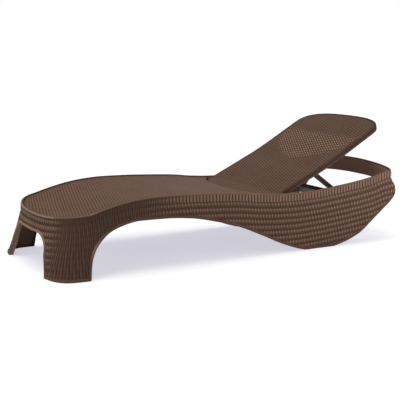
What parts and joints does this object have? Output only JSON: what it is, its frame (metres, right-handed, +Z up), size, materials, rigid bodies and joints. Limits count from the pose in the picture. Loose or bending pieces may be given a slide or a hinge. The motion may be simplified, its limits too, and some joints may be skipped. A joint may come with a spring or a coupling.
{
  "type": "sun lounger",
  "caption": "Low moulded plastic sun lounger with a woven-look body, two front legs, a floor-standing rear hull and an adjustable backrest on a prop strut.",
  "frame": {"origin": "centre of the bounding box on the floor", "axes": "+X from the foot end to the head end, +Y from the right side to the left side, +Z up"},
  "size_m": [1.8636, 0.7856, 0.6139],
  "materials": {
    "woven_side": "satin brown, woven texture",
    "woven_seat": "satin brown, fine woven texture",
    "inner_plastic": "satin dark brown, smooth",
    "metal": "satin"
  },
  "bodies": {
    "frame": {"side_shell_right": "woven_side", "side_shell_left": "woven_side", "foot_apron": "woven_side", "head_rail": "woven_side", "seat_deck": "woven_seat", "cross_beam_foot": "inner_plastic", "cross_beam_middle": "inner_plastic", "cross_beam_hinge": "inner_plastic", "hinge_plate_right": "inner_plastic", "hinge_plate_left": "inner_plastic", "hinge_pin_right": "metal", "hinge_pin_left": "metal", "notch_rack_right": "inner_plastic", "notch_rack_left": "inner_plastic", "rack_screw_right_front": "metal", "rack_screw_right_rear": "metal", "rack_screw_left_front": "metal", "rack_screw_left_rear": "metal"},
    "backrest": {"backrest_panel": "woven_seat", "strut_bracket_right": "inner_plastic", "strut_bracket_left": "inner_plastic", "strut_pin_right": "metal", "strut_pin_left": "metal"},
    "strut": {"prop_strut": "inner_plastic", "strut_rod": "metal", "strut_roller_right": "inner_plastic", "strut_roller_left": "inner_plastic"}
  },
  "joints": [
    {"name": "backrest_hinge", "type": "hinge", "parent": "frame", "child": "backrest", "pos_m": [0.219, 0, 0.27517], "axis": [0, -1, 0], "range_deg": [-15.7, 31.4]},
    {"name": "strut_pivot", "type": "hinge", "parent": "backrest", "child": "strut", "pos_m": [0.47462, 0, 0.36727], "axis": [0, -1, 0], "range_deg": [-67.6, 33.8]}
  ],
  "couplings": [
    {"joint": "strut_pivot", "follows": "backrest_hinge", "ratio": -2.15}
  ]
}
